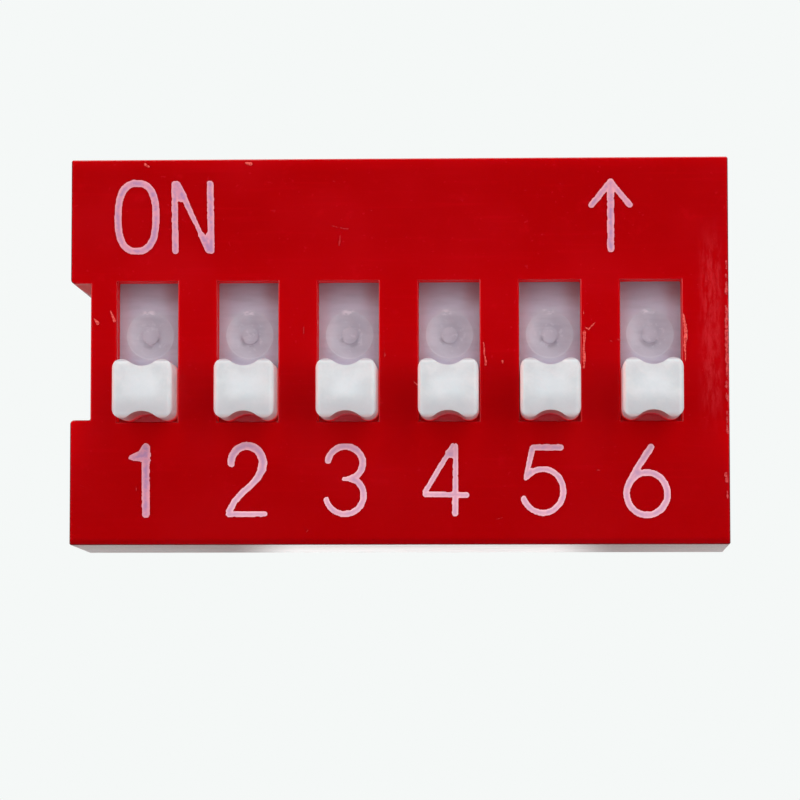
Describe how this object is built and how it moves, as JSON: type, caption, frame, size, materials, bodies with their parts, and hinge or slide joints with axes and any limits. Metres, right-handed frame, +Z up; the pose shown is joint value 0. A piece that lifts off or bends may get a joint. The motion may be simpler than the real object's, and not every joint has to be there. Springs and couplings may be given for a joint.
{
  "type": "slide dip switch",
  "caption": "Dual in-line slide switch block: red cover with a row of white slide knobs, sprung contacts on each slider and straight legs for through-hole soldering.",
  "frame": {"origin": "centre of the seating plane, which is the face of the base rim that rests on the circuit board, midway between the two rows of legs", "axes": "+X along the row of positions from the first to the last, +Y towards the ON side, +Z up, away from the board"},
  "size_m": [0.0168, 0.01, 0.0095],
  "materials": {
    "cover_red": "moulded thermoplastic, satin gloss, white stroke lettering",
    "base_black": "moulded glass-filled thermoplastic",
    "potting": "poured epoxy, smooth meniscus",
    "slider_white": "moulded white nylon, satin, slightly translucent",
    "contact_gold": "gold-flashed spring bronze",
    "terminal_tin": "tin-plated brass strip"
  },
  "bodies": {
    "housing": {"cover": "cover_red", "base": "base_black", "seal": "potting", "terminal_1": "terminal_tin", "terminal_2": "terminal_tin", "terminal_3": "terminal_tin", "terminal_4": "terminal_tin", "terminal_5": "terminal_tin", "terminal_6": "terminal_tin", "terminal_7": "terminal_tin", "terminal_8": "terminal_tin", "terminal_9": "terminal_tin", "terminal_10": "terminal_tin", "terminal_11": "terminal_tin", "terminal_12": "terminal_tin"},
    "switch_1": {"slider_1": "slider_white", "contact_1": "contact_gold"},
    "switch_2": {"slider_2": "slider_white", "contact_2": "contact_gold"},
    "switch_3": {"slider_3": "slider_white", "contact_3": "contact_gold"},
    "switch_4": {"slider_4": "slider_white", "contact_4": "contact_gold"},
    "switch_5": {"slider_5": "slider_white", "contact_5": "contact_gold"},
    "switch_6": {"slider_6": "slider_white", "contact_6": "contact_gold"}
  },
  "joints": [
    {"name": "throw_1", "type": "slide", "parent": "housing", "child": "switch_1", "axis": [0, 1, 0], "range_m": [0, 0.00202]},
    {"name": "throw_2", "type": "slide", "parent": "housing", "child": "switch_2", "axis": [0, 1, 0], "range_m": [0, 0.00202]},
    {"name": "throw_3", "type": "slide", "parent": "housing", "child": "switch_3", "axis": [0, 1, 0], "range_m": [0, 0.00202]},
    {"name": "throw_4", "type": "slide", "parent": "housing", "child": "switch_4", "axis": [0, 1, 0], "range_m": [0, 0.00202]},
    {"name": "throw_5", "type": "slide", "parent": "housing", "child": "switch_5", "axis": [0, 1, 0], "range_m": [0, 0.00202]},
    {"name": "throw_6", "type": "slide", "parent": "housing", "child": "switch_6", "axis": [0, 1, 0], "range_m": [0, 0.00202]}
  ]
}
